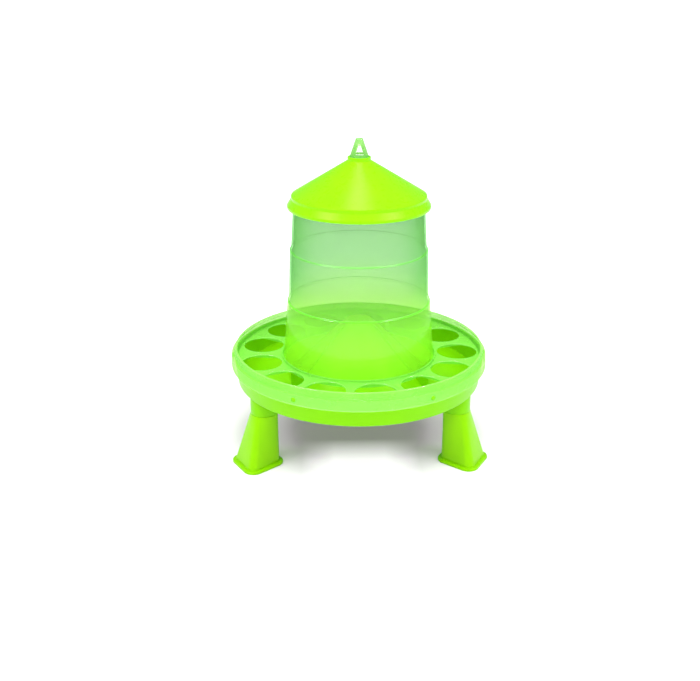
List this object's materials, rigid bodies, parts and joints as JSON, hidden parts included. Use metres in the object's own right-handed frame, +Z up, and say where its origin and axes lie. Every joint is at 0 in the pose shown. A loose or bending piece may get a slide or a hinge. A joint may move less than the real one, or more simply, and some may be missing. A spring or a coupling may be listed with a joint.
{
  "type": "hopper poultry feeder",
  "caption": "Gravity hopper feeder for hens: see-through hopper with lift-off lid and swivel hanger over a round tray with anti-waste grille, on plug-in legs.",
  "frame": {"origin": "middle, at floor level, of the area that the feeder's outline covers; the feeder's own axis is 6 mm in front of it, at y = -0.006 m", "axes": "+Z up along the feeder's axis, -Y the front, midway between two legs, +Y towards the rear leg"},
  "size_m": [0.304, 0.316, 0.3662],
  "materials": {
    "tray_lime": "opaque lime polypropylene, semi-gloss",
    "leg_lime": "opaque lime polypropylene, semi-gloss",
    "lid_lime": "opaque lime polypropylene, glossy",
    "hopper_clear_green": "translucent tinted polypropylene, glossy",
    "hanger_clear_green": "translucent tinted polypropylene, glossy",
    "grille_clear_green": "translucent tinted polypropylene, glossy"
  },
  "bodies": {
    "base": {"feed_tray": "tray_lime", "anti_waste_grille": "grille_clear_green", "leg_1": "leg_lime", "leg_2": "leg_lime", "leg_3": "leg_lime"},
    "hopper": {"hopper": "hopper_clear_green"},
    "hanger": {"hanger": "hanger_clear_green"},
    "lid": {"lid": "lid_lime"}
  },
  "joints": [
    {"name": "hopper_twist", "type": "hinge", "parent": "base", "child": "hopper", "pos_m": [0, -0.006, 0.104], "axis": [0, 0, 1], "range_deg": [0, 20]},
    {"name": "hanger_swivel", "type": "hinge", "parent": "hopper", "child": "hanger", "pos_m": [0, -0.006, 0.3325], "axis": [0, 0, 1], "continuous": true},
    {"name": "lid_lift", "type": "slide", "parent": "hopper", "child": "lid", "axis": [0, 0, 1], "range_m": [0, 0.085]}
  ]
}
